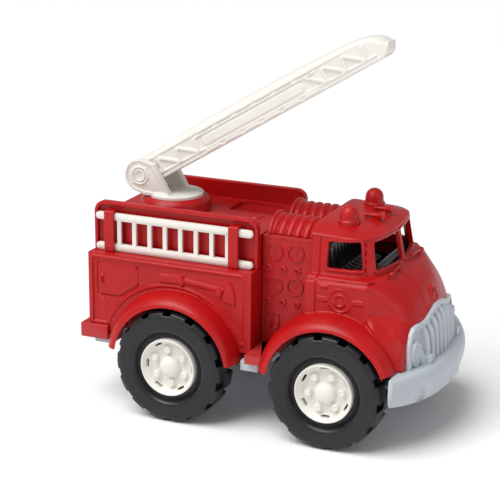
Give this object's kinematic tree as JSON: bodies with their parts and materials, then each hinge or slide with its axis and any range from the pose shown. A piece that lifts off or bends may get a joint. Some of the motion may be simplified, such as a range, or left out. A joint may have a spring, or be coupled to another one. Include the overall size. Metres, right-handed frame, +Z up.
{
  "type": "toy fire engine",
  "caption": "Toy fire engine with cab, pump housing, stepped rear body, swivelling raised boom, sliding side ladders and rolling wheels.",
  "frame": {"origin": "on the ground, at the middle of the model's box in plan", "axes": "+X towards the front bumper, +Y towards the vehicle's left side, +Z up"},
  "size_m": [0.267, 0.1564, 0.2753],
  "materials": {
    "red_plastic": "satin moulded red plastic",
    "white_plastic": "satin moulded off-white plastic",
    "grey_plastic": "satin moulded light grey plastic",
    "black_plastic": "glossy moulded black plastic",
    "charcoal_plastic": "matte moulded charcoal plastic"
  },
  "bodies": {
    "truck": {"rear_body": "red_plastic", "deck": "red_plastic", "rack_right": "red_plastic", "rack_left": "red_plastic", "rear_step": "red_plastic", "pump_housing": "red_plastic", "hose_reel_right": "red_plastic", "hose_reel_left": "red_plastic", "cab_shell": "red_plastic", "beacon_right": "red_plastic", "beacon_left": "red_plastic", "horn_right": "red_plastic", "horn_left": "red_plastic", "bench_seat": "black_plastic", "dashboard": "black_plastic", "grille": "grey_plastic", "front_bumper": "grey_plastic", "chassis": "grey_plastic", "rear_axle_keeper": "grey_plastic", "front_axle_keeper": "grey_plastic", "chassis_pin_1": "grey_plastic", "chassis_pin_2": "grey_plastic", "chassis_pin_3": "grey_plastic", "chassis_pin_4": "grey_plastic", "chassis_pin_5": "grey_plastic", "chassis_pin_6": "grey_plastic", "turntable_collar": "red_plastic"},
    "front_wheels": {"front_axle": "grey_plastic", "front_tyre_right": "charcoal_plastic", "front_tyre_left": "charcoal_plastic", "front_hub_right": "white_plastic", "front_hub_left": "white_plastic"},
    "rear_wheels": {"rear_axle": "grey_plastic", "rear_tyre_right": "charcoal_plastic", "rear_tyre_left": "charcoal_plastic", "rear_hub_right": "white_plastic", "rear_hub_left": "white_plastic"},
    "swivel": {"turntable": "white_plastic", "boom_pin": "white_plastic", "turntable_retainer": "grey_plastic"},
    "raised_boom": {"boom": "white_plastic"},
    "side_ladder_right": {"ladder_right": "white_plastic"},
    "side_ladder_left": {"ladder_left": "white_plastic"}
  },
  "joints": [
    {"name": "front_wheels_roll", "type": "hinge", "parent": "truck", "child": "front_wheels", "pos_m": [0.0623, 0, 0.0409], "axis": [0, 1, 0], "continuous": true},
    {"name": "rear_wheels_roll", "type": "hinge", "parent": "truck", "child": "rear_wheels", "pos_m": [-0.0552, 0, 0.0409], "axis": [0, 1, 0], "continuous": true},
    {"name": "boom_swivel", "type": "hinge", "parent": "truck", "child": "swivel", "pos_m": [-0.0854, 0, 0.136], "axis": [0, 0, 1], "continuous": true},
    {"name": "boom_tilt", "type": "hinge", "parent": "swivel", "child": "raised_boom", "pos_m": [-0.107, 0, 0.1611], "axis": [0, -1, 0], "range_deg": [-27.5, 38]},
    {"name": "ladder_right_slide", "type": "slide", "parent": "truck", "child": "side_ladder_right", "axis": [-1, 0, 0], "range_m": [0, 0.118]},
    {"name": "ladder_left_slide", "type": "slide", "parent": "truck", "child": "side_ladder_left", "axis": [-1, 0, 0], "range_m": [0, 0.118]}
  ]
}
